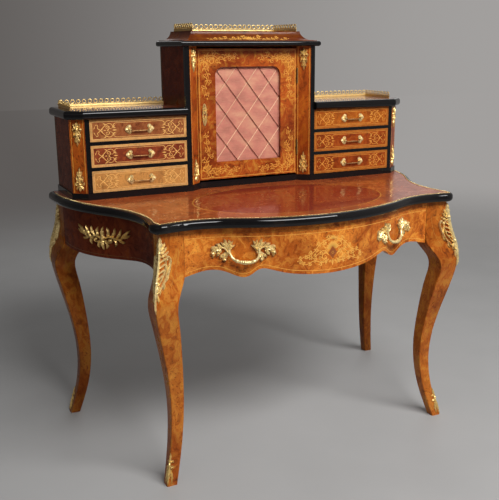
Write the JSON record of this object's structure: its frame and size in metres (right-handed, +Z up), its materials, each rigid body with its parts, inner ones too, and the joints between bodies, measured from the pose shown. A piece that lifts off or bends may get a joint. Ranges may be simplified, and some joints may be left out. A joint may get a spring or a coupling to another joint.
{
  "type": "bonheur du jour writing desk",
  "caption": "Serpentine lady's writing desk with cabriole legs, a frieze drawer, banks of small drawers and a cupboard with a lattice door.",
  "frame": {"origin": "on the floor under the middle of the table top", "axes": "+Z up, +Y from the front to the back, +X to the right as seen from the front"},
  "size_m": [1.28, 0.747, 1.281],
  "materials": {
    "burr_walnut": "polished",
    "ebonised_wood": "polished",
    "plain_wood": "satin",
    "ormolu": "gilt",
    "brass": "polished",
    "silk": "satin"
  },
  "bodies": {
    "frame": {"top_board": "burr_walnut", "top_moulding": "ebonised_wood", "top_bead": "ormolu", "front_rail": "burr_walnut", "side_friezes": "burr_walnut", "back_rail": "plain_wood", "leg_front_left": "burr_walnut", "leg_front_right": "burr_walnut", "leg_rear_left": "burr_walnut", "leg_rear_right": "burr_walnut", "knee_mounts": "ormolu", "sabots": "ormolu", "side_mounts": "ormolu", "drawer_runners": "plain_wood", "plinth": "ebonised_wood", "unit_sides": "burr_walnut", "canted_corners": "burr_walnut", "unit_framing": "ebonised_wood", "unit_tops": "burr_walnut", "unit_mouldings": "ebonised_wood", "cupboard_sides": "burr_walnut", "cupboard_stiles": "ebonised_wood", "pilasters": "burr_walnut", "cornice": "ebonised_wood", "coved_top": "burr_walnut", "back_panels": "plain_wood", "shelf": "plain_wood", "unit_galleries": "brass", "cupboard_gallery": "brass", "corner_mounts": "ormolu", "hinge_plates": "brass"},
    "frieze_drawer": {"frieze_drawer_front": "burr_walnut", "frieze_drawer_box": "plain_wood", "frieze_pulls": "ormolu"},
    "cupboard_door": {"door_frame": "burr_walnut", "door_lattice": "brass", "door_silk": "silk", "door_backboard": "plain_wood", "escutcheon": "ormolu", "door_hinge_leaves": "brass", "lock_case": "brass"},
    "bolt": {"lock_bolt": "brass"},
    "small_drawer_right_1": {"drawer_right_1": "burr_walnut", "plates_right_1": "ormolu"},
    "handle_right_1": {"bail_right_1": "ormolu"},
    "small_drawer_right_2": {"drawer_right_2": "burr_walnut", "plates_right_2": "ormolu"},
    "handle_right_2": {"bail_right_2": "ormolu"},
    "small_drawer_right_3": {"drawer_right_3": "burr_walnut", "plates_right_3": "ormolu"},
    "handle_right_3": {"bail_right_3": "ormolu"},
    "small_drawer_left_1": {"drawer_left_1": "burr_walnut", "plates_left_1": "ormolu"},
    "handle_left_1": {"bail_left_1": "ormolu"},
    "small_drawer_left_2": {"drawer_left_2": "burr_walnut", "plates_left_2": "ormolu"},
    "handle_left_2": {"bail_left_2": "ormolu"},
    "small_drawer_left_3": {"drawer_left_3": "burr_walnut", "plates_left_3": "ormolu"},
    "handle_left_3": {"bail_left_3": "ormolu"}
  },
  "joints": [
    {"name": "frieze_drawer_slide", "type": "slide", "parent": "frame", "child": "frieze_drawer", "axis": [0, -1, 0], "range_m": [0, 0.32]},
    {"name": "door_hinge", "type": "hinge", "parent": "frame", "child": "cupboard_door", "pos_m": [0.17925, 0.175, 0.994], "axis": [0, 0, 1], "range_deg": [0, 100]},
    {"name": "lock_bolt_slide", "type": "slide", "parent": "cupboard_door", "child": "bolt", "axis": [-1, 0, 0], "range_m": [0, 0.008]},
    {"name": "drawer_slide_right_1", "type": "slide", "parent": "frame", "child": "small_drawer_right_1", "axis": [0, -1, 0], "range_m": [0, 0.15]},
    {"name": "handle_swing_right_1", "type": "hinge", "parent": "small_drawer_right_1", "child": "handle_right_1", "pos_m": [0.3862, 0.141, 0.81333], "axis": [-1, 0, 0], "range_deg": [0, 90]},
    {"name": "drawer_slide_right_2", "type": "slide", "parent": "frame", "child": "small_drawer_right_2", "axis": [0, -1, 0], "range_m": [0, 0.15]},
    {"name": "handle_swing_right_2", "type": "hinge", "parent": "small_drawer_right_2", "child": "handle_right_2", "pos_m": [0.3862, 0.141, 0.89], "axis": [-1, 0, 0], "range_deg": [0, 90]},
    {"name": "drawer_slide_right_3", "type": "slide", "parent": "frame", "child": "small_drawer_right_3", "axis": [0, -1, 0], "range_m": [0, 0.15]},
    {"name": "handle_swing_right_3", "type": "hinge", "parent": "small_drawer_right_3", "child": "handle_right_3", "pos_m": [0.3862, 0.141, 0.96667], "axis": [-1, 0, 0], "range_deg": [0, 90]},
    {"name": "drawer_slide_left_1", "type": "slide", "parent": "frame", "child": "small_drawer_left_1", "axis": [0, -1, 0], "range_m": [0, 0.15]},
    {"name": "handle_swing_left_1", "type": "hinge", "parent": "small_drawer_left_1", "child": "handle_left_1", "pos_m": [-0.3862, 0.141, 0.81333], "axis": [-1, 0, 0], "range_deg": [0, 90]},
    {"name": "drawer_slide_left_2", "type": "slide", "parent": "frame", "child": "small_drawer_left_2", "axis": [0, -1, 0], "range_m": [0, 0.15]},
    {"name": "handle_swing_left_2", "type": "hinge", "parent": "small_drawer_left_2", "child": "handle_left_2", "pos_m": [-0.3862, 0.141, 0.89], "axis": [-1, 0, 0], "range_deg": [0, 90]},
    {"name": "drawer_slide_left_3", "type": "slide", "parent": "frame", "child": "small_drawer_left_3", "axis": [0, -1, 0], "range_m": [0, 0.15]},
    {"name": "handle_swing_left_3", "type": "hinge", "parent": "small_drawer_left_3", "child": "handle_left_3", "pos_m": [-0.3862, 0.141, 0.96667], "axis": [-1, 0, 0], "range_deg": [0, 90]}
  ]
}
